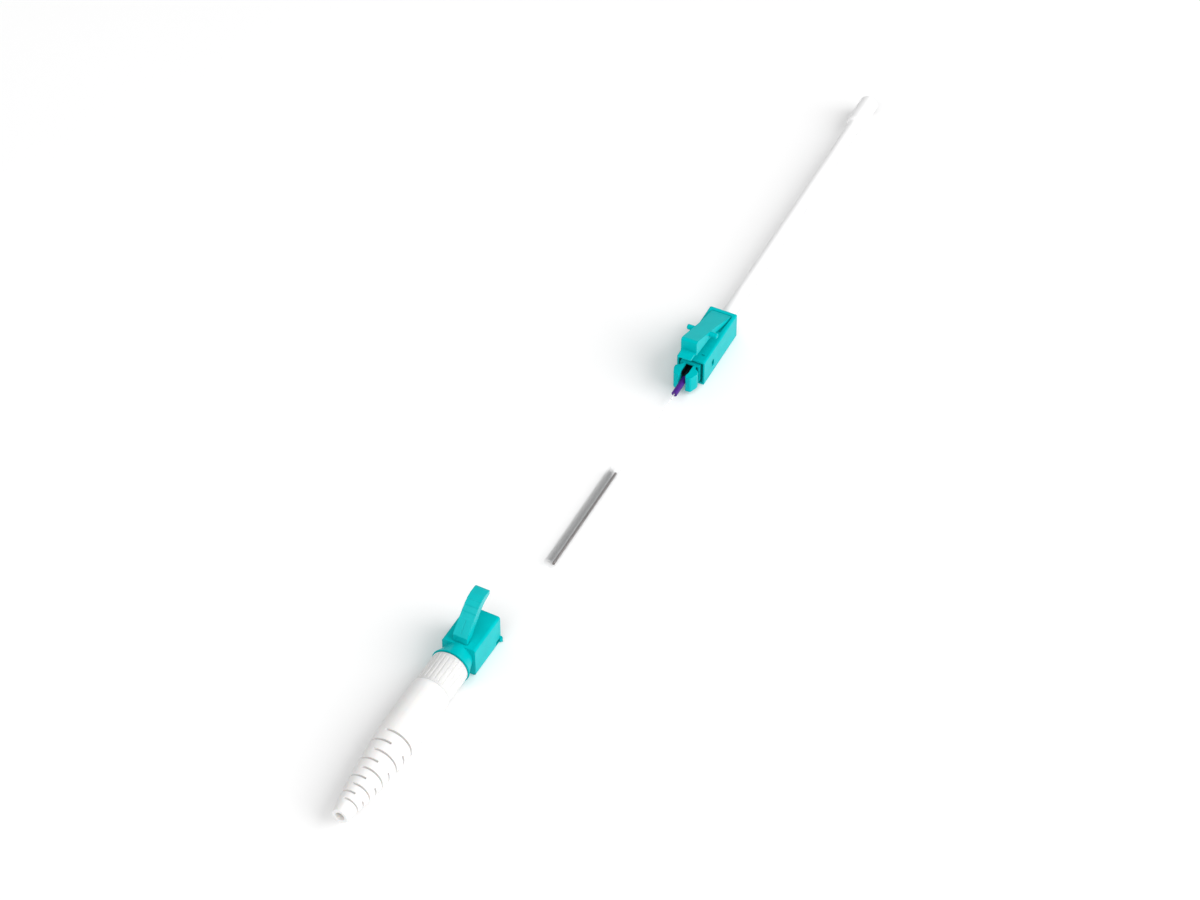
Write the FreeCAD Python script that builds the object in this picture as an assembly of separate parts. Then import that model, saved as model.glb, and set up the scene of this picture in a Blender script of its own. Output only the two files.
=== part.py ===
import FreeCAD, Part
import math
import os

# Splice-on fibre connector of the small 1.25 mm ferrule format, laid out in its
# three loose groups on one flat surface: plug, splice protection sleeve and
# rear housing with clamp nut and strain relief boot.
#
# Row frame, millimetres: origin on the ferrule axis in the plane of the plug's
# front face, +X forward out of the plug, +Y to its left, +Z up (latch side).
# The flat surface that everything rests on is at Z = -PLUG_H / 2.

os.makedirs("parts", exist_ok=True)
V = FreeCAD.Vector

# ------------------------------------------------------------ plug shell
PLUG_W = 4.52              # across the shell
PLUG_H = 4.52              # height of the shell without its latch
PLUG_L = 11.7              # length of the shell
SHELL_R = 0.30             # rounding of the four long edges
PORT_D = 3.00              # round recess around the ferrule
PORT_L = 2.40
SHOULDER_L = 0.40          # wall that the ferrule flange rests against
SHOULDER_D = 1.90
CHAMBER_D = 3.30           # round chamber of flange and spring
CHAMBER_END = -6.80        # where the square rear chamber starts
REAR_W = 3.95              # square rear chamber
WINDOW_X = -8.65           # snap windows in the side walls
WINDOW_LX = 0.80
WINDOW_HZ = 1.15
WINDOW_Z = -0.25
TABLE_Z = -PLUG_H / 2

# ------------------------------------------------------------ latch arm
LATCH_W = 2.56
LATCH_ROOT_W = 3.20        # the arm widens towards its root
LATCH_ROOT_X = -5.60       # where it reaches its plain width
LATCH_SIDE_GAP = 0.16      # slot along both sides of the arm
TONGUE_W = 2.14
LATCH_PIVOT_X = -0.85
LATCH_PIVOT_Z = 1.96
LATCH_KNUCKLE_R = 0.29
KNUCKLE_GAP = 0.04         # radial clearance of both knuckles
LATCH_TOP_DEG = 20.0       # slope of the arm's upper face
LATCH_TAIL_X = -12.55      # rear face of the tail
LATCH_TAIL_TOP = 4.52      # tail top above the shell's top
LATCH_UNDER = 2.05         # underside of tail and tongue above the shell's top
LATCH_TONGUE_X = -14.15    # end of the low tongue
LATCH_TONGUE_T = 0.42
EAR_X = -7.70
EAR_L = 0.84
EAR_H = 0.95
EAR_SPAN = 4.96
EAR_Z = 2.26 + 2.25
LATCH_PRESS_DEG = 7.0

# ------------------------------------------------------------ ferrule set
FERRULE_D = 1.25
FERRULE_TIP = 1.90         # stands out of the front face by this
FERRULE_L = 6.50
FIBRE_D = 0.125
COATING_D = 0.25
BUFFER_D = 0.90
FLANGE_D = 2.90
FLANGE_X0 = -2.85
FLANGE_X1 = -4.10
FLANGE_TAIL_D = 1.90
FLANGE_TAIL_X = -8.20
BUFFER_X0 = -4.75
BUFFER_X1 = -17.45
COATING_X1 = -18.60
FIBRE_X1 = -25.00
SPRING_WIRE = 0.28
SPRING_R = 1.20            # mean radius of the coil
SPRING_TURNS = 6.0
FERRULE_FLOAT = 0.80

# ------------------------------------------------------------ inner body
INNER_X0 = -7.20           # front wall that the spring pushes against
INNER_BLOCK_X1 = -9.40
INNER_W = 3.86
FRAME_W = 3.14             # thin square frame behind the block
FRAME_T = 0.28
FRAME_OUT = 0.36           # the frame stands out behind the shell
JAW_NECK = 0.96            # half width of the jaws inside the frame
JAW_BARB = 1.86            # half width over the barbs
JAW_TIP = 1.45
JAW_SLOT = 0.62            # half width of the slot between the jaws
JAW_Z0 = -1.35             # lower and upper side of the jaws
JAW_Z1 = 1.50
JAW_END = -14.85
GUIDE_D = 1.10

# ------------------------------------------------------------ dust cap
CAP_D = 2.00
CAP_BORE_D = 1.30
CAP_X0 = -2.20
CAP_STEM_X1 = 49.60
CAP_HEAD_D = 2.90
CAP_HEAD_L = 6.00
CAP_BORE_END = 6.00

# ------------------------------------------------------------ splice sleeve
SLEEVE_L = 21.2
SLEEVE_OD = 1.85
SLEEVE_ID = 1.55
MELT_OD = 0.90
MELT_ID = 0.50
MELT_L = 20.7
ROD_D = 0.40
ROD_L = 20.2
SLEEVE_X0 = -55.1          # near end, on the sleeve's axis
SLEEVE_Y0 = 2.03
SLEEVE_YAW = -0.6          # degrees

# ------------------------------------------------------------ rear unit
# Local frame: origin on the unit's axis in the plane of the housing's front
# face, x forward. It is placed in the row frame by REAR_X, REAR_Y and REAR_YAW.
REAR_X = -70.60
REAR_Y = 4.58
REAR_YAW = -1.95
BELLY = 3.00               # the axis lies this far above the surface
HOUSE_L = 7.35
HOUSE_W = 5.30
HOUSE_TOP = 2.10
HOUSE_R = 0.40
CAVITY_W = 3.50
CAVITY_H = 3.30
CAVITY_L = 4.20
BORE_D = 2.80
NECK_L = 0.16
COLLAR_L = 2.17
# flared collar: distance behind the housing's rear face, radius
COLLAR_PROFILE = [(0.0, 2.22), (0.35, 2.31), (0.95, 2.48), (1.60, 2.69), (2.02, 2.88), (2.19, 2.96)]
COLLAR_RIM_D = 5.98
SPIGOT_D = 3.90
SPIGOT_L = 4.50
SLIT_W = 0.35
SNAP_X0 = -0.45            # snap window of the housing's side walls
SNAP_X1 = -1.40
SNAP_Z0 = -2.62
SNAP_Z1 = -1.95
SNAP_BULGE = 0.40

TRIG_W = 2.25
TRIG_PIVOT_U = 0.85        # forward of the housing's rear face
TRIG_PIVOT_V = -0.16       # above the housing's top
TRIG_KNUCKLE_R = 0.36
TRIG_PRESS_DEG = 13.0

NUT_GAP = 0.12
NUT_D = 5.64
NUT_L = 5.60
NUT_RIBS = 26
NUT_RIB_H = 0.075
NUT_THREAD_CLEAR = 0.04
NUT_NECK_D = 4.00
NUT_NECK_L = 2.60
NUT_BEAD_D = 4.30
THREAD_PITCH = 0.50
NUT_TURNS = 3.0

BOOT_GAP = 0.06
BOOT_PROFILE = [(0.0, 5.86), (0.25, 6.00), (3.4, 6.00), (7.1, 6.00), (10.1, 5.94),
                (12.9, 5.50), (16.5, 4.84), (20.3, 3.96), (23.2, 2.98), (24.85, 2.42)]
BOOT_TIP_HOLE = 1.40
BOOT_FRONT_BORE = 3.20
SLOT_A = [10.45, 14.05, 17.35, 20.25, 22.75]
SLOT_B = [12.3, 15.75, 18.85, 21.55]
SLOT_SPAN = 130.0


# ============================================================ helpers
def box(x0, x1, y0, y1, z0, z1):
    x0, x1 = sorted((x0, x1))
    y0, y1 = sorted((y0, y1))
    z0, z1 = sorted((z0, z1))
    return Part.makeBox(x1 - x0, y1 - y0, z1 - z0, V(x0, y0, z0))


def cyl_x(x0, x1, d, y=0.0, z=0.0):
    x0, x1 = sorted((x0, x1))
    return Part.makeCylinder(d / 2.0, x1 - x0, V(x0, y, z), V(1, 0, 0))


def cyl_y(x, z, r, w):
    return Part.makeCylinder(r, w, V(x, -w / 2.0, z), V(0, 1, 0))


def prism_xz(points, w, y0=None):
    """Extrude a closed outline given in X, Z across the width w."""
    if y0 is None:
        y0 = -w / 2.0
    pts = [V(x, y0, z) for x, z in points]
    face = Part.Face(Part.makePolygon(pts + [pts[0]]))
    return face.extrude(V(0, w, 0))


def prism_xy(points, z0, z1):
    pts = [V(x, y, z0) for x, y in points]
    face = Part.Face(Part.makePolygon(pts + [pts[0]]))
    return face.extrude(V(0, 0, z1 - z0))


def revolve_x(points):
    """Revolve a closed outline given as (x, r) about the X axis."""
    pts = [V(x, 0, r) for x, r in points]
    face = Part.Face(Part.makePolygon(pts + [pts[0]]))
    return face.revolve(V(0, 0, 0), V(1, 0, 0), 360)


def cut(a, *tools):
    for t in tools:
        a = a.cut(t)
    return a


def fuse(a, *others):
    for t in others:
        a = a.fuse(t)
    return a.removeSplitter()


def long_edges(shape, tol=0.02, only=None):
    """Edges parallel to X at the outer corners of a box-like solid."""
    bb = shape.BoundBox
    out = []
    for e in shape.Edges:
        a, b = e.Vertexes[0].Point, e.Vertexes[-1].Point
        if abs(a.x - b.x) < 0.5 * bb.XLength or abs(a.y - b.y) > tol or abs(a.z - b.z) > tol:
            continue
        if min(abs(a.y - bb.YMin), abs(a.y - bb.YMax)) < tol and \
           min(abs(a.z - bb.ZMin), abs(a.z - bb.ZMax)) < tol:
            if only is None or only(a):
                out.append(e)
    return out


def y_edges(shape, w):
    """Edges that run straight across the width w."""
    out = []
    for e in shape.Edges:
        a, b = e.Vertexes[0].Point, e.Vertexes[-1].Point
        if abs(abs(a.y - b.y) - w) < 1e-4 and abs(a.x - b.x) < 1e-4 and abs(a.z - b.z) < 1e-4:
            out.append(e)
    return out


def place_rear(shape):
    s = shape.copy()
    s.rotate(V(0, 0, 0), V(0, 0, 1), REAR_YAW)
    s.translate(V(REAR_X, REAR_Y, TABLE_Z + BELLY))
    return s


NODES = {}


def keep(name, shape):
    solids = shape.Solids
    if len(solids) == 1:
        shape = solids[0]
    NODES[name] = shape


# ============================================================ plug shell
def front_housing():
    body = box(-PLUG_L, 0, -PLUG_W / 2, PLUG_W / 2, -PLUG_H / 2, PLUG_H / 2)
    body = body.makeFillet(SHELL_R, long_edges(body))
    front = [e for e in body.Edges
             if all(abs(v.Point.x) < 1e-6 for v in e.Vertexes) and e.BoundBox.XLength < 1e-6]
    body = body.makeFillet(0.14, front)
    body = cut(body,
               cyl_x(-PORT_L, 1, PORT_D),
               cyl_x(-PORT_L - SHOULDER_L - 0.1, -PORT_L + 0.1, SHOULDER_D),
               cyl_x(CHAMBER_END - 0.1, -PORT_L - SHOULDER_L, CHAMBER_D),
               box(-PLUG_L - 1, CHAMBER_END, -REAR_W / 2, REAR_W / 2, -REAR_W / 2, REAR_W / 2))
    # snap windows through both side walls
    for s in (-1, 1):
        body = cut(body, box(WINDOW_X - WINDOW_LX / 2, WINDOW_X + WINDOW_LX / 2,
                             s * (REAR_W / 2 - 0.2), s * (PLUG_W / 2 + 0.5),
                             WINDOW_Z - WINDOW_HZ / 2, WINDOW_Z + WINDOW_HZ / 2))
    # two shallow dimples in the top wall near its rear edge
    for s in (-1, 1):
        body = cut(body, box(-PLUG_L + 1.40, -PLUG_L + 1.64, s * 1.02, s * 1.54,
                             PLUG_H / 2 - 0.16, PLUG_H / 2 + 0.2))
    # seat of the latch arm's knuckle, open to the top, and the shallow ramp
    # that the arm's underside comes down to when it is pressed
    w = LATCH_ROOT_W + 0.08
    seat = cyl_y(LATCH_PIVOT_X, LATCH_PIVOT_Z, LATCH_KNUCKLE_R + KNUCKLE_GAP, w)
    t = math.tan(math.radians(13.7 - LATCH_PRESS_DEG - 1.6))
    x0 = LATCH_PIVOT_X
    z0 = 1.71
    x1 = -4.6
    ramp = prism_xz([(x0, 3.0), (x0, z0), (x0 - 0.15, z0), (x1, z0 + t * (x0 - 0.15 - x1)), (x1, 3.0)], 4.2)
    # seen from above, the ramp follows the arm's tapering sides
    g = LATCH_SIDE_GAP
    h0, h1 = LATCH_ROOT_W / 2 + g, LATCH_W / 2 + g
    hm = h0 + (h1 - h0) * (x0 - x1) / (x0 - LATCH_ROOT_X)
    ramp = ramp.common(prism_xy([(x0 + 0.02, -w / 2), (x0 - 0.30, -h0), (x1, -hm),
                                 (x1, hm), (x0 - 0.30, h0), (x0 + 0.02, w / 2)], 1.0, 3.2))
    mouth = box(x0 - 0.2, x0 + 0.10, -w / 2, w / 2, LATCH_PIVOT_Z, 3.0)
    body = cut(body, seat, ramp, mouth)
    keep("front_housing", body)


def latch_arm():
    top = PLUG_H / 2
    a = math.radians(LATCH_TOP_DEG)
    px, pz, r = LATCH_PIVOT_X, LATCH_PIVOT_Z, LATCH_KNUCKLE_R
    # upper face: tangent to the knuckle at the front, straight to the tail
    tx, tz = px + r * math.sin(a), pz + r * math.cos(a)
    xt = LATCH_TAIL_X
    zt = top + LATCH_TAIL_TOP
    # underside: leaves the knuckle's lower side and rises to the tail
    ux, uz = px - 0.10, pz - r * 0.80
    pts = [(tx, tz), (xt + 0.55, zt - 0.06), (xt, zt - 0.02), (xt, top + LATCH_UNDER + LATCH_TONGUE_T),
           (LATCH_TONGUE_X, top + LATCH_UNDER + LATCH_TONGUE_T - 0.04), (LATCH_TONGUE_X, top + LATCH_UNDER),
           (xt - 0.2, top + LATCH_UNDER - 0.03), (-8.4, top + 1.55), (ux, uz), (px, pz)]
    arm = prism_xz(pts, LATCH_ROOT_W)
    ed = []
    for e in y_edges(arm, LATCH_ROOT_W):
        p = e.Vertexes[0].Point
        if abs(p.x - xt) < 0.01 and abs(p.z - (zt - 0.02)) < 0.01:
            ed.append(e)
    arm = arm.makeFillet(0.30, ed)
    ed = [e for e in y_edges(arm, LATCH_ROOT_W) if abs(e.Vertexes[0].Point.x - LATCH_TONGUE_X) < 0.01]
    arm = arm.makeFillet(0.14, ed)
    arm = fuse(arm, cyl_y(px, pz, r, LATCH_ROOT_W))
    # plan outline: wide root, plain arm, narrower tongue
    wr, wa, wt = LATCH_ROOT_W / 2, LATCH_W / 2, TONGUE_W / 2
    half = [(1.0, wr), (px - 0.30, wr), (LATCH_ROOT_X, wa), (xt - 0.05, wa), (xt - 0.12, wt), (LATCH_TONGUE_X - 1, wt)]
    arm = arm.common(prism_xy(half + [(x, -y) for x, y in reversed(half)], 0, 9))
    ear = Part.makeCylinder(EAR_L / 2, EAR_SPAN, V(EAR_X, -EAR_SPAN / 2, EAR_Z), V(0, 1, 0))
    ends = [e for e in ear.Edges if e.BoundBox.YLength < 1e-4]
    ear = ear.makeFillet(0.2, ends)
    arm = fuse(arm, ear)
    keep("latch_arm", arm)


# ============================================================ ferrule set
def ferrule_set():
    x1 = FERRULE_TIP
    x0 = x1 - FERRULE_L
    r = FERRULE_D / 2
    f = revolve_x([(x0, 0.0), (x0, r - 0.08), (x0 + 0.08, r), (x1 - 0.35, r), (x1 - 0.04, r - 0.16),
                   (x1, r - 0.24), (x1, 0.0)])
    f = cut(f, cyl_x(x0 - 1, x1 + 1, FIBRE_D + 0.004))
    cone = Part.makeCone(0.30, FIBRE_D / 2, 0.75, V(x0 - 0.001, 0, 0), V(1, 0, 0))
    f = cut(f, cone)
    keep("ferrule", f)

    collar = cyl_x(FLANGE_X1, FLANGE_X0, FLANGE_D)
    for s in (-1, 1):
        collar = cut(collar, box(FLANGE_X1 - 1, FLANGE_X0 + 1, s * 1.28, s * 3, -3, 3))
    collar = cut(collar, box(FLANGE_X0 - 0.7, FLANGE_X0 + 1, -0.3, 0.3, 1.1, 3))
    fl = fuse(collar, cyl_x(FLANGE_TAIL_X, FLANGE_X1 + 0.2, FLANGE_TAIL_D))
    fl = cut(fl, cyl_x(x0 - 0.02, 1, FERRULE_D + 0.01),
             cyl_x(FLANGE_TAIL_X - 1, x0 - 0.02, BUFFER_D + 0.03))
    keep("ferrule_flange", fl)

    keep("buffer_tube", cut(cyl_x(BUFFER_X1, BUFFER_X0, BUFFER_D),
                            cyl_x(BUFFER_X1 - 1, BUFFER_X0 + 1, COATING_D + 0.01)))
    keep("fibre_coating", cut(cyl_x(COATING_X1, BUFFER_X0, COATING_D),
                              cyl_x(COATING_X1 - 1, BUFFER_X0 + 1, FIBRE_D + 0.004)))
    keep("glass_fibre", cyl_x(FIBRE_X1, FERRULE_TIP, FIBRE_D))


def compression_spring():
    x0, x1 = INNER_X0, FLANGE_X1
    free = x1 - x0
    # a coil with its two ends ground flat
    helix = Part.makeHelix(free / SPRING_TURNS, free, SPRING_R)
    start = helix.Edges[0].Vertexes[0].Point
    circle = Part.Wire([Part.makeCircle(SPRING_WIRE / 2, start, V(0, 1, 0))])
    coil = Part.Wire(helix.Edges).makePipeShell([circle], True, True)
    coil.rotate(V(0, 0, 0), V(0, 1, 0), 90)
    coil.translate(V(x0, 0, 0))
    rings = []
    for x in (x0 + SPRING_WIRE / 2, x1 - SPRING_WIRE / 2):
        rings.append(Part.makeTorus(SPRING_R, SPRING_WIRE / 2, V(x, 0, 0), V(1, 0, 0)))
    s = coil.Solids[0] if coil.Solids else Part.Solid(coil.Shells[0])
    slab = box(x0 + 0.002, x1 - 0.002, -3, 3, -3, 3)
    s = s.common(slab)
    s = fuse(s, *rings)
    s = s.common(slab)
    keep("compression_spring", s)


# ============================================================ inner body
def inner_body():
    h = INNER_W / 2
    block = box(INNER_BLOCK_X1, INNER_X0, -h, h, -h, h)
    block = block.makeFillet(0.12, long_edges(block))
    # snap barbs that sit in the shell's side windows
    for s in (-1, 1):
        xa, xb = WINDOW_X + WINDOW_LX / 2 - 0.05, WINDOW_X - WINDOW_LX / 2 + 0.05
        barb = prism_xy([(xa, s * (h - 0.1)), (xa, s * h), (xb, s * (h + 0.20)), (xb, s * (h - 0.1))],
                        WINDOW_Z - WINDOW_HZ / 2 + 0.06, WINDOW_Z - WINDOW_HZ / 2 + 0.36)
        block = fuse(block, barb)
        # hollow above the barb, so that it can flex inward
        block = cut(block, box(xb - 0.02, xa + 0.02, s * 1.20, s * (h + 1),
                               WINDOW_Z - WINDOW_HZ / 2 + 0.42, WINDOW_Z + WINDOW_HZ / 2 + 0.05))
    g = FRAME_W / 2
    frame = box(-PLUG_L - FRAME_OUT, INNER_BLOCK_X1 + 0.01, -g, g, -g, g)
    frame = frame.makeFillet(0.10, long_edges(frame))
    frame = cut(frame, box(-PLUG_L - 1, INNER_BLOCK_X1, -g + FRAME_T, g - FRAME_T, -g + FRAME_T, g - FRAME_T))
    body = fuse(block, frame)
    # two flexing jaws: thin neck, outward barb, tapered tip
    for s in (-1, 1):
        neck = prism_xy([(INNER_BLOCK_X1 + 0.05, s * JAW_SLOT), (INNER_BLOCK_X1 + 0.05, s * JAW_NECK),
                         (-PLUG_L - 0.60, s * JAW_NECK), (-PLUG_L - 0.60, s * JAW_SLOT)], JAW_Z0 + 0.18, JAW_Z1 - 0.26)
        jaw = prism_xy([(-PLUG_L - 0.30, s * JAW_SLOT), (-PLUG_L - 0.30, s * JAW_NECK),
                        (-PLUG_L - 0.85, s * (JAW_NECK + 0.20)), (-PLUG_L - 1.30, s * (JAW_BARB - 0.10)),
                        (-PLUG_L - 1.45, s * JAW_BARB), (-PLUG_L - 1.95, s * JAW_BARB),
                        (JAW_END + 0.20, s * (JAW_TIP + 0.02)), (JAW_END, s * (JAW_TIP - 0.18)),
                        (JAW_END, s * (JAW_SLOT - 0.02)), (JAW_END + 0.18, s * (JAW_SLOT - 0.14)),
                        (JAW_END + 0.55, s * (JAW_SLOT - 0.14)), (JAW_END + 0.95, s * JAW_SLOT)],
                       JAW_Z0, JAW_Z1)
        body = fuse(body, neck, jaw)
    # web that ties the two jaws together along their lower edge
    web = box(-PLUG_L - 0.9, INNER_BLOCK_X1 + 0.05, -JAW_SLOT - 0.05, JAW_SLOT + 0.05, JAW_Z0 + 0.20, -0.86)
    body = fuse(body, web)
    body = cut(body, cyl_x(-9.10, INNER_X0 + 1, FLANGE_TAIL_D + 0.16),
               cyl_x(INNER_BLOCK_X1 - 0.5, -9.0, GUIDE_D),
               cyl_x(JAW_END - 1, INNER_BLOCK_X1 + 0.3, GUIDE_D))
    keep("inner_body", body)


# ============================================================ dust cap
def dust_cap():
    r = CAP_D / 2
    R = CAP_HEAD_D / 2
    xh = CAP_STEM_X1
    xe = xh + CAP_HEAD_L
    pts = [(CAP_X0, 0.0), (CAP_X0, r - 0.12), (CAP_X0 + 0.12, r), (xh - 0.02, r), (xh, r + 0.02),
           (xh + 0.02, R - 0.25), (xh + 0.27, R), (xe - 0.30, R), (xe - 0.08, R - 0.12),
           (xe, R - 0.35), (xe, 0.0)]
    cap = revolve_x(pts)
    cap = cut(cap, cyl_x(CAP_X0 - 1, CAP_BORE_END, CAP_BORE_D))
    lead = Part.makeCone(CAP_BORE_D / 2 + 0.12, CAP_BORE_D / 2, 0.25, V(CAP_X0 - 0.001, 0, 0), V(1, 0, 0))
    keep("dust_cap", cut(cap, lead))


# ============================================================ splice sleeve
def splice_sleeve():
    z = TABLE_Z + SLEEVE_OD / 2
    ri = SLEEVE_ID / 2

    def place(s):
        s = s.copy()
        s.rotate(V(0, 0, 0), V(0, 0, 1), SLEEVE_YAW)
        s.translate(V(SLEEVE_X0, SLEEVE_Y0, z))
        return s

    tube = cut(cyl_x(0, SLEEVE_L, SLEEVE_OD), cyl_x(-1, SLEEVE_L + 1, SLEEVE_ID))
    rim = [e for e in tube.Edges if e.Length > 3.0 and e.BoundBox.XLength < 1e-5
           and abs(e.BoundBox.YLength - SLEEVE_OD) < 1e-3]
    tube = tube.makeFillet(0.05, rim)
    keep("sleeve_shrink_tube", place(tube))
    ang = math.radians(-128.0)       # the rod lies low on the right, the melt tube opposite
    rr = ri - ROD_D / 2 - 0.01
    rm = ri - MELT_OD / 2 - 0.01
    ry, rz = rr * math.cos(ang), rr * math.sin(ang)
    my, mz = -rm * math.cos(ang), -rm * math.sin(ang)
    xr = 0.50
    rod = cyl_x(xr, xr + ROD_L, ROD_D, ry, rz)
    rod = rod.makeChamfer(0.04, [e for e in rod.Edges if e.BoundBox.XLength < 1e-5])
    keep("sleeve_steel_rod", place(rod))
    xm = (SLEEVE_L - MELT_L) / 2
    melt = cut(cyl_x(xm, xm + MELT_L, MELT_OD, my, mz), cyl_x(-1, SLEEVE_L + 1, MELT_ID, my, mz))
    keep("sleeve_melt_tube", place(melt))


# ============================================================ rear unit
def trigger_outline():
    """Side outline, (forward of the rear face, above the housing's top)."""
    return [(0.42, 0.06), (0.42, 1.26), (0.58, 1.42),
            (2.38, 2.98), (2.52, 3.06),
            (3.10, 3.52), (3.20, 3.70), (3.84, 4.10), (3.94, 4.26), (4.60, 4.58), (4.72, 4.74),
            (5.70, 4.94), (6.80, 4.94), (7.24, 4.83), (7.40, 4.60), (7.30, 4.36), (6.90, 4.20),
            (5.90, 4.00), (4.60, 3.24), (3.20, 1.92), (1.90, 0.44), (1.40, 0.30),
            (1.12, 0.20), (1.05, 0.0), (0.66, 0.0), (0.60, 0.06)]


def rear_housing():
    w = HOUSE_W / 2
    body = box(-HOUSE_L, 0, -w, w, -BELLY, HOUSE_TOP)
    body = body.makeFillet(HOUSE_R, long_edges(body))
    front = [e for e in body.Edges
             if all(abs(v.Point.x) < 1e-6 for v in e.Vertexes) and e.BoundBox.XLength < 1e-6]
    body = body.makeFillet(0.12, front)
    x_n = -HOUSE_L - NECK_L
    x_c = x_n - COLLAR_L
    x_s = x_c - SPIGOT_L
    rc = COLLAR_RIM_D / 2
    rs = SPIGOT_D / 2
    flare = Part.BSplineCurve()
    flare.interpolate([V(-HOUSE_L - t, 0, q) for t, q in COLLAR_PROFILE])
    q0, q1 = COLLAR_PROFILE[0][1], COLLAR_PROFILE[-1][1]
    xe = -HOUSE_L - COLLAR_PROFILE[-1][0]
    line = [V(xe, 0, q1), V(xe - 0.05, 0, rc), V(x_c + 0.03, 0, rc), V(x_c, 0, rc - 0.03), V(x_c, 0, rs),
            V(x_s + 0.7, 0, rs), V(x_s, 0, rs - 0.25), V(x_s, 0, 0), V(-HOUSE_L + 0.3, 0, 0),
            V(-HOUSE_L + 0.3, 0, q0), V(-HOUSE_L, 0, q0)]
    edges = [flare.toShape()] + [Part.makeLine(line[i], line[i + 1]) for i in range(len(line) - 1)]
    collar = Part.Face(Part.Wire(Part.__sortEdges__(edges))).revolve(V(0, 0, 0), V(1, 0, 0), 360)
    collar = collar.Solids[0] if collar.Solids else collar
    body = fuse(body, collar)
    # snap windows low in both side walls, with the bulged bar in front of each
    for s in (-1, 1):
        bar = prism_xy([(0.0, s * (w - 0.2)), (0.0, s * (w + 0.16)), (SNAP_X0 * 0.4, s * (w + SNAP_BULGE)),
                        (SNAP_X0, s * (w + 0.10)), (SNAP_X0, s * (w - 0.2))], SNAP_Z0 - 0.14, SNAP_Z1 + 0.08)
        body = fuse(body, bar)
    body = cut(body,
               box(-CAVITY_L, 1, -CAVITY_W / 2, CAVITY_W / 2, -CAVITY_H / 2, CAVITY_H / 2),
               cyl_x(x_s - 1, -CAVITY_L + 0.5, BORE_D))
    for s in (-1, 1):
        body = cut(body, box(SNAP_X1, SNAP_X0, s * (CAVITY_W / 2 - 0.2), s * (w + 1), SNAP_Z0, SNAP_Z1))
    # four slits turn the spigot's end into clamping fingers
    body = cut(body, box(x_s - 1, x_s + 3.2, -3, 3, -SLIT_W / 2, SLIT_W / 2),
               box(x_s - 1, x_s + 3.2, -SLIT_W / 2, SLIT_W / 2, -3, 3))
    # seat of the trigger's knuckle, open to the top
    px, pz = -HOUSE_L + TRIG_PIVOT_U, HOUSE_TOP + TRIG_PIVOT_V
    seat = cyl_y(px, pz, TRIG_KNUCKLE_R + KNUCKLE_GAP, TRIG_W + 0.10)
    body = cut(body, seat)
    keep("rear_housing", place_rear(body))


def trigger():
    x0, z0 = -HOUSE_L, HOUSE_TOP
    pts = [(x0 + u, z0 + v) for u, v in trigger_outline()]
    t = prism_xz(pts, TRIG_W)
    t = fuse(t, cyl_y(x0 + TRIG_PIVOT_U, z0 + TRIG_PIVOT_V, TRIG_KNUCKLE_R, TRIG_W))
    # rounded corners of the tip, seen from above
    tip = x0 + 7.6
    for s in (-1, 1):
        y = s * TRIG_W / 2
        rr = 0.55
        block = box(tip - rr, tip + 1, y, y - s * rr, z0, z0 + 8)
        round_ = Part.makeCylinder(rr, 8, V(tip - rr, y - s * rr, z0), V(0, 0, 1))
        t = cut(t, cut(block, round_))
    # fine line down the middle of the smooth panel
    d = V(1.80, 0, 1.56).normalize()
    groove = Part.makeCylinder(0.07, 2.1, V(x0 + 0.66, 0, z0 + 1.52), d)
    t = cut(t, groove)
    keep("trigger", place_rear(t))


def clamp_nut():
    x_c = -HOUSE_L - NECK_L - COLLAR_L
    a = x_c - NUT_GAP
    b = a - NUT_L
    r = NUT_D / 2
    rt = SPIGOT_D / 2 + NUT_THREAD_CLEAR
    rn = NUT_NECK_D / 2
    rb = NUT_BEAD_D / 2
    xs = x_c - SPIGOT_L
    e = b - NUT_NECK_L
    body = revolve_x([(a, rt), (a, r - 0.10), (a - 0.10, r), (b + 0.12, r), (b, r - 0.12), (b, rn),
                      (e + 0.75, rn), (e + 0.60, rb), (e + 0.40, rb), (e, rn - 0.1), (e, 1.50),
                      (b + 0.2, 1.50), (xs - 0.25, rt - 0.32), (xs + 0.75, rt)])
    grooves = []
    n = NUT_RIBS
    x_g0, x_g1 = b + 0.42, a - 0.42
    for i in range(n):
        t = 2 * math.pi * i / n
        pitch = 2 * math.pi * r / n
        gr = pitch * 0.30
        c = r - NUT_RIB_H + gr
        g = Part.makeCylinder(gr, x_g1 - x_g0, V(x_g0, c * math.cos(t), c * math.sin(t)), V(1, 0, 0))
        grooves.append(g)
    body = body.cut(grooves)
    keep("clamp_nut", place_rear(body))


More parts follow.
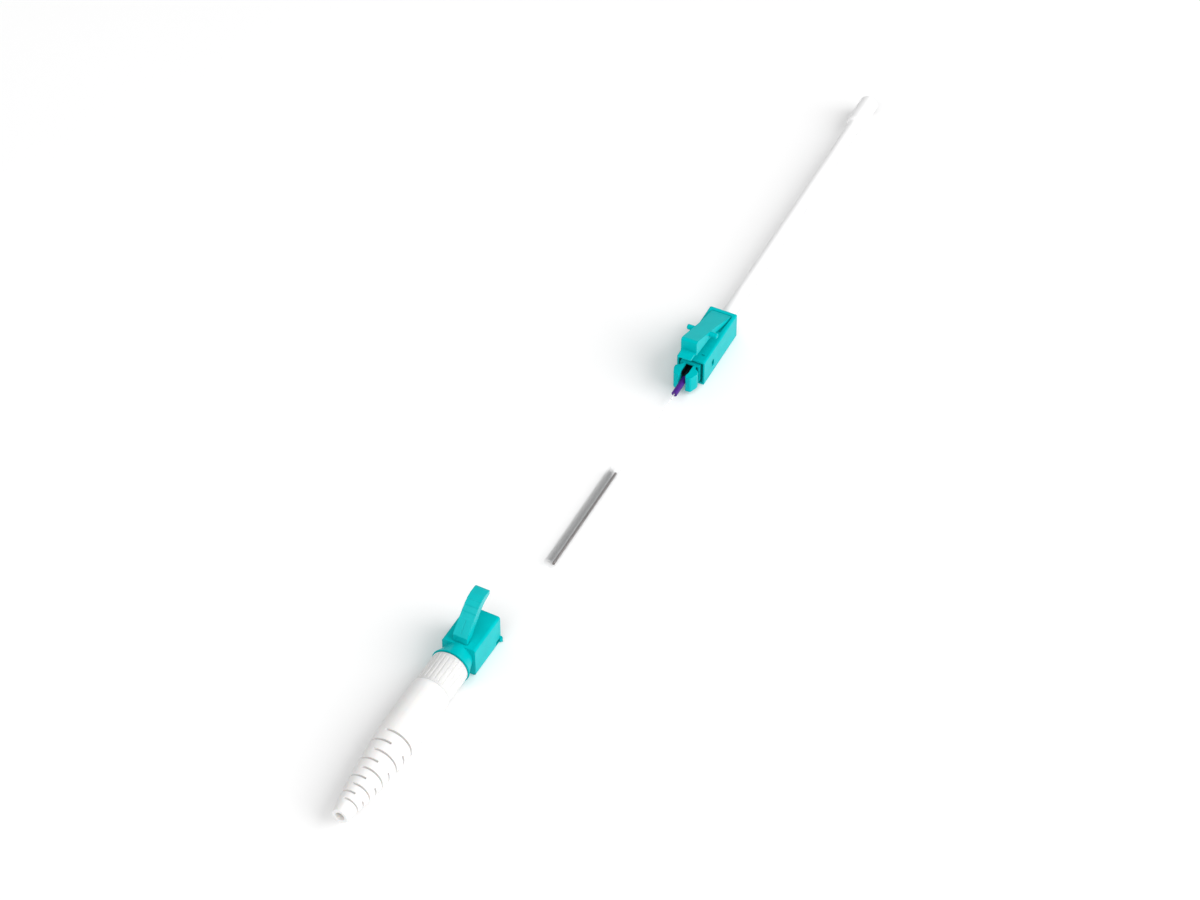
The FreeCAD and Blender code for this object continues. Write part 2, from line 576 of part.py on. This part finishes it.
def strain_relief_boot():
    x_c = -HOUSE_L - NECK_L - COLLAR_L
    f = x_c - NUT_GAP - NUT_L - BOOT_GAP
    L = BOOT_PROFILE[-1][0]
    outer = [(f - t, d / 2.0) for t, d in BOOT_PROFILE]
    # smooth outer line through the profile
    line = Part.makePolygon([V(outer[0][0], 0, outer[0][1]), V(outer[1][0], 0, outer[1][1])])
    spl = Part.BSplineCurve()
    spl.interpolate([V(x, 0, z) for x, z in outer[3:]], InitialTangent=V(-1, 0, -0.005), FinalTangent=V(-1, 0, -0.16))
    rt = BOOT_TIP_HOLE / 2
    rf = BOOT_FRONT_BORE / 2
    rn = NUT_NECK_D / 2 + 0.04
    rb = NUT_BEAD_D / 2 + 0.04
    sock = f - NUT_NECK_L - 0.14
    tipx = f - L
    e1 = line.Edges[0]
    e2 = Part.makeLine(V(outer[1][0], 0, outer[1][1]), V(outer[3][0], 0, outer[3][1]))
    e3 = spl.toShape()
    inner = [V(tipx, 0, outer[-1][1]), V(tipx, 0, rt), V(tipx + 2.0, 0, rt), V(sock - 1.0, 0, rf), V(sock, 0, rf),
             V(sock, 0, rb), V(sock + 0.90, 0, rb), V(sock + 1.05, 0, rn), V(f, 0, rn),
             V(f, 0, outer[0][1])]
    edges = [e1, e2, e3] + [Part.makeLine(inner[i], inner[i + 1]) for i in range(len(inner) - 1)]
    wire = Part.Wire(Part.__sortEdges__(edges))
    body = Part.Face(wire).revolve(V(0, 0, 0), V(1, 0, 0), 360)
    body = body.Solids[0] if body.Solids else body

    def radius(t):
        for (t0, d0), (t1, d1) in zip(BOOT_PROFILE, BOOT_PROFILE[1:]):
            if t0 <= t <= t1:
                return (d0 + (d1 - d0) * (t - t0) / (t1 - t0)) / 2
        return BOOT_PROFILE[-1][1] / 2

    tools = []
    for stations, centres in ((SLOT_A, (45.0, 225.0)), (SLOT_B, (135.0, 315.0))):
        for t in stations:
            wdt = 0.34 - 0.08 * (t - 11.0) / 13.0
            for c in centres:
                # angles count from the unit's right, seen from behind, towards the top
                a0 = math.radians(c - SLOT_SPAN / 2)
                a1 = math.radians(c + SLOT_SPAN / 2)
                am = math.radians(c)
                far = 6.0
                p = [(0.0, 0.0)] + [(-far * math.cos(a), far * math.sin(a)) for a in (a0, am, a1)]
                pts = [V(f - t - wdt / 2, y, z) for y, z in p]
                sector = Part.Face(Part.makePolygon(pts + [pts[0]])).extrude(V(wdt, 0, 0))
                core = cyl_x(f - t - 1, f - t + 1, 1.2)
                tools.append(sector.cut(core))
    body = body.cut(tools)
    keep("strain_relief_boot", place_rear(body))


front_housing()
latch_arm()
ferrule_set()
compression_spring()
inner_body()
dust_cap()
splice_sleeve()
rear_housing()
trigger()
clamp_nut()
strain_relief_boot()

for name, shape in NODES.items():
    shape.exportStep("parts/" + name + ".step")
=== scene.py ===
import bpy
import bmesh
import math
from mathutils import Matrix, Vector


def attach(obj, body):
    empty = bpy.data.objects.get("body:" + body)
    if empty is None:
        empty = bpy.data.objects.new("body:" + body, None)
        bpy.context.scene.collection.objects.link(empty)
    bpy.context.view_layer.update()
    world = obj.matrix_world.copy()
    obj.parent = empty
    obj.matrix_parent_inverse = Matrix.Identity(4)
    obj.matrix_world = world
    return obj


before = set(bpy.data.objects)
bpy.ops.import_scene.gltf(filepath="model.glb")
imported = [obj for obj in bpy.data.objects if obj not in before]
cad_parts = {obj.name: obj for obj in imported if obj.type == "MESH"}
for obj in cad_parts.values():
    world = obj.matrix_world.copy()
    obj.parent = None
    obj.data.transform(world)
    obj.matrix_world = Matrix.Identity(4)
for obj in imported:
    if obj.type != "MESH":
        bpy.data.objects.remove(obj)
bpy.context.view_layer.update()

MM = 0.001
scene = bpy.context.scene
scene.view_settings.view_transform = "Standard"
scene.view_settings.look = "None"
scene.view_settings.exposure = 0.0

# ------------------------------------------------------------------ materials
def srgb(r, g, b):
    def f(c):
        c = c / 255.0
        return c / 12.92 if c <= 0.04045 else ((c + 0.055) / 1.055) ** 2.4
    return (f(r), f(g), f(b), 1.0)


def new_mat(name):
    m = bpy.data.materials.new(name)
    m.use_nodes = True
    nt = m.node_tree
    bsdf = nt.nodes["Principled BSDF"]
    return m, nt, bsdf


def add_noise(nt, scale, detail=4.0, rough=0.55):
    tc = nt.nodes.new("ShaderNodeTexCoord")
    n = nt.nodes.new("ShaderNodeTexNoise")
    n.inputs["Scale"].default_value = scale
    n.inputs["Detail"].default_value = detail
    n.inputs["Roughness"].default_value = rough
    nt.links.new(tc.outputs["Object"], n.inputs["Vector"])
    return n


def ramp(nt, src, stops):
    r = nt.nodes.new("ShaderNodeValToRGB")
    el = r.color_ramp.elements
    el[0].position, el[0].color = stops[0]
    el[1].position, el[1].color = stops[1]
    for p, c in stops[2:]:
        e = el.new(p)
        e.color = c
    nt.links.new(src, r.inputs["Fac"])
    return r


def maprange(nt, src, a, b, lo, hi):
    n = nt.nodes.new("ShaderNodeMapRange")
    n.inputs["From Min"].default_value = a
    n.inputs["From Max"].default_value = b
    n.inputs["To Min"].default_value = lo
    n.inputs["To Max"].default_value = hi
    nt.links.new(src, n.inputs["Value"])
    return n


def bump(nt, src, bsdf, strength, dist):
    b = nt.nodes.new("ShaderNodeBump")
    b.inputs["Strength"].default_value = strength
    b.inputs["Distance"].default_value = dist
    nt.links.new(src, b.inputs["Height"])
    nt.links.new(b.outputs["Normal"], bsdf.inputs["Normal"])
    return b


def mat_aqua(r0=0.30, r1=0.42):
    """Satin moulded plastic: slow tone drift, a fine spark texture in gloss and relief, softly broken edges."""
    m, nt, b = new_mat("aqua_plastic")
    big = add_noise(nt, 420.0, 3.0)
    col = ramp(nt, big.outputs["Fac"], [(0.30, (0.000, 0.440, 0.458, 1)), (0.72, (0.000, 0.490, 0.508, 1))])
    nt.links.new(col.outputs["Color"], b.inputs["Base Color"])
    fine = add_noise(nt, 9000.0, 6.0, 0.62)
    r = maprange(nt, fine.outputs["Fac"], 0.3, 0.7, r0, r1)
    nt.links.new(r.outputs["Result"], b.inputs["Roughness"])
    bp = bump(nt, fine.outputs["Fac"], b, 0.16, 0.00002)
    edge = nt.nodes.new("ShaderNodeBevel")
    edge.samples = 4
    edge.inputs["Radius"].default_value = 0.00008
    nt.links.new(edge.outputs["Normal"], bp.inputs["Normal"])
    b.inputs["IOR"].default_value = 1.49
    b.inputs["Specular IOR Level"].default_value = 0.10
    b.inputs["Specular Tint"].default_value = (0.0, 0.90, 1.0, 1.0)
    return m


def mat_boot():
    m, nt, b = new_mat("boot_elastomer")
    big = add_noise(nt, 300.0, 3.0)
    col = ramp(nt, big.outputs["Fac"], [(0.30, (0.800, 0.790, 0.778, 1)), (0.72, (0.835, 0.826, 0.815, 1))])
    nt.links.new(col.outputs["Color"], b.inputs["Base Color"])
    fine = add_noise(nt, 7000.0, 5.0, 0.6)
    r = maprange(nt, fine.outputs["Fac"], 0.3, 0.7, 0.44, 0.58)
    nt.links.new(r.outputs["Result"], b.inputs["Roughness"])
    bump(nt, fine.outputs["Fac"], b, 0.15, 0.00002)
    b.inputs["Subsurface Weight"].default_value = 0.35
    b.inputs["Subsurface Radius"].default_value = (0.0014, 0.0010, 0.0008)
    b.inputs["Subsurface Scale"].default_value = 1.0
    return m


def mat_nut():
    m, nt, b = new_mat("nut_plastic")
    big = add_noise(nt, 500.0, 3.0)
    col = ramp(nt, big.outputs["Fac"], [(0.30, (0.690, 0.688, 0.675, 1)), (0.72, (0.740, 0.738, 0.726, 1))])
    nt.links.new(col.outputs["Color"], b.inputs["Base Color"])
    fine = add_noise(nt, 8000.0, 5.0, 0.6)
    r = maprange(nt, fine.outputs["Fac"], 0.3, 0.7, 0.30, 0.42)
    nt.links.new(r.outputs["Result"], b.inputs["Roughness"])
    bump(nt, fine.outputs["Fac"], b, 0.12, 0.00002)
    b.inputs["Subsurface Weight"].default_value = 0.65
    b.inputs["Subsurface Radius"].default_value = (0.0018, 0.0018, 0.0016)
    b.inputs["Subsurface Scale"].default_value = 1.0
    return m


def mat_cap():
    m, nt, b = new_mat("cap_plastic")
    big = add_noise(nt, 260.0, 3.0)
    col = ramp(nt, big.outputs["Fac"], [(0.30, (0.870, 0.870, 0.870, 1)), (0.72, (0.900, 0.900, 0.900, 1))])
    nt.links.new(col.outputs["Color"], b.inputs["Base Color"])
    fine = add_noise(nt, 6000.0, 5.0, 0.6)
    r = maprange(nt, fine.outputs["Fac"], 0.3, 0.7, 0.36, 0.48)
    nt.links.new(r.outputs["Result"], b.inputs["Roughness"])
    bump(nt, fine.outputs["Fac"], b, 0.10, 0.00002)
    b.inputs["Subsurface Weight"].default_value = 0.3
    b.inputs["Subsurface Radius"].default_value = (0.0010, 0.0010, 0.0010)
    b.inputs["Subsurface Scale"].default_value = 1.0
    return m


def mat_simple(name, c0, c1, rough, metal=0.0, scale=4000.0, bump_s=0.08, stretch=None, ior=1.5, spec=0.5):
    m, nt, b = new_mat(name)
    tc = nt.nodes.new("ShaderNodeTexCoord")
    mp = nt.nodes.new("ShaderNodeMapping")
    if stretch:
        mp.inputs["Scale"].default_value = stretch
    nt.links.new(tc.outputs["Object"], mp.inputs["Vector"])
    n = nt.nodes.new("ShaderNodeTexNoise")
    n.inputs["Scale"].default_value = scale
    n.inputs["Detail"].default_value = 4.0
    nt.links.new(mp.outputs["Vector"], n.inputs["Vector"])
    col = ramp(nt, n.outputs["Fac"], [(0.30, c0), (0.72, c1)])
    nt.links.new(col.outputs["Color"], b.inputs["Base Color"])
    r = maprange(nt, n.outputs["Fac"], 0.3, 0.7, rough[0], rough[1])
    nt.links.new(r.outputs["Result"], b.inputs["Roughness"])
    bump(nt, n.outputs["Fac"], b, bump_s, 0.00001)
    b.inputs["Metallic"].default_value = metal
    b.inputs["IOR"].default_value = ior
    return m


AQUA = mat_aqua()
# the same plastic with a smoother finish, used for the whole trigger (a guess)
AQUA_PANEL = mat_aqua(0.20, 0.28)
AQUA_PANEL.name = "aqua_panel"
AQUA_PANEL.node_tree.nodes["Principled BSDF"].inputs["Specular IOR Level"].default_value = 0.5
AQUA_PANEL.node_tree.nodes["Principled BSDF"].inputs["Specular Tint"].default_value = (0.45, 0.95, 1.0, 1.0)
BOOT = mat_boot()
NUT = mat_nut()
CAP = mat_cap()
VIOLET = mat_simple("violet_buffer", (0.058, 0.007, 0.200, 1), (0.068, 0.009, 0.225, 1), (0.38, 0.44), 0.0, 2600.0, 0.02)
VIOLET.node_tree.nodes["Principled BSDF"].inputs["Specular IOR Level"].default_value = 0.28
ZIRC = mat_simple("zirconia", srgb(236, 233, 226), srgb(244, 242, 236), (0.08, 0.14), 0.0, 3000.0, 0.02, ior=2.1)
NICKEL = mat_simple("nickel", srgb(186, 184, 178), srgb(204, 202, 196), (0.22, 0.34), 1.0, 2500.0, 0.05, (1, 1, 1))
SPRING = mat_simple("spring_steel", srgb(168, 168, 170), srgb(196, 196, 198), (0.18, 0.30), 1.0, 2500.0, 0.05)
ROD = mat_simple("rod_steel", (0.150, 0.130, 0.122, 1), (0.230, 0.200, 0.190, 1), (0.26, 0.36), 1.0, 2500.0, 0.06, (0.12, 1, 1))
def mat_clear(name, c0, c1, rough, alpha, ior=1.45):
    """Clear plastic or glass seen as a thin film: mostly see-through, with its own gloss."""
    m = mat_simple(name, c0, c1, rough, 0.0, 1500.0, 0.03, ior=ior)
    m.node_tree.nodes["Principled BSDF"].inputs["Alpha"].default_value = alpha
    return m


TUBE = mat_clear("clear_tube", (0.92, 0.93, 0.95, 1), (0.95, 0.96, 0.97, 1), (0.08, 0.16), 0.06)
MELT = mat_clear("melt_tube", (0.86, 0.86, 0.87, 1), (0.92, 0.92, 0.93, 1), (0.20, 0.30), 0.03)
COAT = mat_clear("acrylate", (0.88, 0.88, 0.88, 1), (0.94, 0.94, 0.94, 1), (0.12, 0.20), 0.24)
FIBRE = mat_clear("fibre_glass", (0.88, 0.88, 0.90, 1), (0.94, 0.94, 0.95, 1), (0.05, 0.10), 0.20)
# painted shade: a near-black material for the added pieces that stand in for the deep shadow in the jaw slot and
# in the snap-window pockets
PAINTED_SHADE = mat_simple("painted_shade_dark", (0.0035, 0.0075, 0.0095, 1), (0.006, 0.0125, 0.0155, 1), (0.42, 0.58), 0.0, 6000.0, 0.10)
PAINTED_SHADE.node_tree.nodes["Principled BSDF"].inputs["Specular IOR Level"].default_value = 0.25

MATS = {
    "front_housing": AQUA, "latch_arm": AQUA, "inner_body": AQUA, "rear_housing": AQUA, "trigger": AQUA_PANEL,
    "strain_relief_boot": BOOT, "clamp_nut": NUT, "dust_cap": CAP, "buffer_tube": VIOLET,
    "ferrule": ZIRC, "ferrule_flange": NICKEL, "compression_spring": SPRING, "sleeve_steel_rod": ROD,
    "fibre_coating": COAT, "glass_fibre": FIBRE, "sleeve_shrink_tube": TUBE, "sleeve_melt_tube": MELT,
}
for name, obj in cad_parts.items():
    m = MATS[name]
    obj.data.materials.clear()
    obj.data.materials.append(m)

# ------------------------------------------------------------------ added pieces
def mesh_piece(name, verts, faces, mat, body, smooth=True):
    me = bpy.data.meshes.new(name)
    me.from_pydata(verts, [], faces)
    me.update()
    ob = bpy.data.objects.new(name, me)
    scene.collection.objects.link(ob)
    me.materials.append(mat)
    b = bmesh.new()
    b.from_mesh(me)
    bmesh.ops.recalc_face_normals(b, faces=b.faces)
    b.to_mesh(me)
    b.free()
    if smooth:
        for p in me.polygons:
            p.use_smooth = True
        me.set_sharp_from_angle(angle=math.radians(40))
    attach(ob, body)
    return ob


def lathe(name, profile, mat, body, n=64, y=0.0, z=0.0):
    """Closed outline (x, r) in mm turned about a line parallel to X."""
    verts, faces = [], []
    k = len(profile)
    for i in range(n):
        t = 2 * math.pi * i / n
        for x, r in profile:
            verts.append((x * MM, (y + r * math.cos(t)) * MM, (z + r * math.sin(t)) * MM))
    for i in range(n):
        j = (i + 1) % n
        for a in range(k):
            c = (a + 1) % k
            faces.append((i * k + a, i * k + c, j * k + c, j * k + a))
    return mesh_piece(name, verts, faces, mat, body)


def prism_x(name, outline, x0, x1, mat, body):
    """Closed outline (y, z) in mm drawn out along X."""
    k = len(outline)
    verts = [(x0 * MM, y * MM, z * MM) for y, z in outline] + [(x1 * MM, y * MM, z * MM) for y, z in outline]
    faces = [tuple(range(k)), tuple(range(2 * k - 1, k - 1, -1))]
    for a in range(k):
        c = (a + 1) % k
        faces.append((a, c, k + c, k + a))
    return mesh_piece(name, verts, faces, mat, body, smooth=False)


# painted shade: a dark sleeve round the buffered fibre between the jaws, standing in for deep shadow
lathe("jaw_shade_sleeve", [(-9.20, 0.456), (-9.20, 0.520), (-9.60, 0.530), (-13.30, 0.530), (-13.62, 0.515),
                       (-13.74, 0.490), (-13.76, 0.456)], PAINTED_SHADE, "ferrule_set")
# painted shade: a thin dark film in the slot between the jaws, standing in for its deep shadow
out = [(0.612, 1.16), (0.612, -0.10)]
for i in range(0, 13):
    t = math.radians(0 - 180 * i / 12)
    out.append((0.612 * math.cos(t), -0.22 + 0.612 * math.sin(t)))
out += [(-0.612, -0.10), (-0.612, 1.16), (-0.575, 1.18), (-0.575, -0.10)]
for i in range(0, 13):
    t = math.radians(-180 + 180 * i / 12)
    out.append((0.575 * math.cos(t), -0.22 + 0.575 * math.sin(t)))
out += [(0.575, -0.10), (0.575, 1.18)]
prism_x("slot_shade_film", out, -13.70, -9.60, PAINTED_SHADE, "root")


def tray(name, x0, x1, y_floor, y_rim, z0, z1, t, mat, body):
    """Thin five-sided shell, open towards the rim side along Y (mm)."""
    d = t if y_rim > y_floor else -t
    a = [(x, y, z) for y in (y_floor, y_rim) for x, z in ((x0, z0), (x1, z0), (x1, z1), (x0, z1))]
    b = [(x, y, z) for y in (y_floor + d, y_rim)
         for x, z in ((x0 + t, z0 + t), (x1 - t, z0 + t), (x1 - t, z1 - t), (x0 + t, z1 - t))]
    verts = [(x * MM, y * MM, z * MM) for x, y, z in a + b]
    faces = [(0, 1, 2, 3), (8, 9, 10, 11)]
    for i in range(4):
        j = (i + 1) % 4
        faces += [(i, j, j + 4, i + 4), (i + 8, j + 8, j + 12, i + 12), (i + 4, j + 4, j + 12, i + 12)]
    return mesh_piece(name, verts, faces, mat, body, smooth=False)


# painted shade: thin dark films in the pockets behind the snap windows, standing in for their deep shadow
tray("window_shade_film_l", -9.01, -8.29, 1.21, 1.92, -0.395, 0.365, 0.03, PAINTED_SHADE, "root")
tray("window_shade_film_r", -9.01, -8.29, -1.21, -1.92, -0.395, 0.365, 0.03, PAINTED_SHADE, "root")

# ------------------------------------------------------------------ floor
bm = bmesh.new()
bmesh.ops.create_grid(bm, x_segments=8, y_segments=8, size=1.6)
me = bpy.data.meshes.new("floor")
bm.to_mesh(me)
bm.free()
floor = bpy.data.objects.new("floor", me)
scene.collection.objects.link(floor)
floor.location = (0, 0, -0.00226 - 0.00002)
fm, fnt, fb = new_mat("floor_white")
fn = add_noise(fnt, 12.0, 2.0)
fc = ramp(fnt, fn.outputs["Fac"], [(0.3, (0.925, 0.925, 0.925, 1)), (0.7, (0.935, 0.935, 0.935, 1))])
fnt.links.new(fc.outputs["Color"], fb.inputs["Base Color"])
fb.inputs["Roughness"].default_value = 0.75
fb.inputs["Specular IOR Level"].default_value = 0.15
floor.data.materials.append(fm)

# ------------------------------------------------------------------ camera
AZ, EL = math.radians(25.924), math.radians(45.761)
cam_data = bpy.data.cameras.new("camera")
cam = bpy.data.objects.new("camera", cam_data)
scene.collection.objects.link(cam)
cam.location = Vector((-423.98, -185.34, 446.78)) * MM
fwd = Vector((math.cos(AZ) * math.cos(EL), math.sin(AZ) * math.cos(EL), -math.sin(EL)))
cam.rotation_euler = fwd.to_track_quat("-Z", "Y").to_euler()
cam_data.sensor_width = 36.0
cam_data.lens = 127.53
cam_data.clip_start = 0.01
cam_data.clip_end = 10.0
scene.camera = cam

# ------------------------------------------------------------------ light
w = bpy.data.worlds.new("world")
scene.world = w
w.use_nodes = True
bg = w.node_tree.nodes["Background"]
bg.inputs["Color"].default_value = (1.0, 1.0, 1.0, 1.0)
bg.inputs["Strength"].default_value = 0.42


def area(name, direction, dist, size, power, color=(1, 1, 1), target=(-0.03, 0.0, 0.0)):
    ld = bpy.data.lights.new(name, "AREA")
    ld.shape = "RECTANGLE"
    ld.size, ld.size_y = size
    ld.energy = power
    ld.color = color
    o = bpy.data.objects.new(name, ld)
    scene.collection.objects.link(o)
    d = Vector(direction).normalized()
    o.location = Vector(target) + d * dist
    o.rotation_euler = (-d).to_track_quat("-Z", "Y").to_euler()
    return o


area("key", (0.06, -1.0, 0.72), 1.8, (1.7, 1.6), 29.0)
area("front", (-0.62, -0.10, 0.78), 2.0, (1.7, 1.7), 19.5, target=(-0.05, 0.0, 0.0))
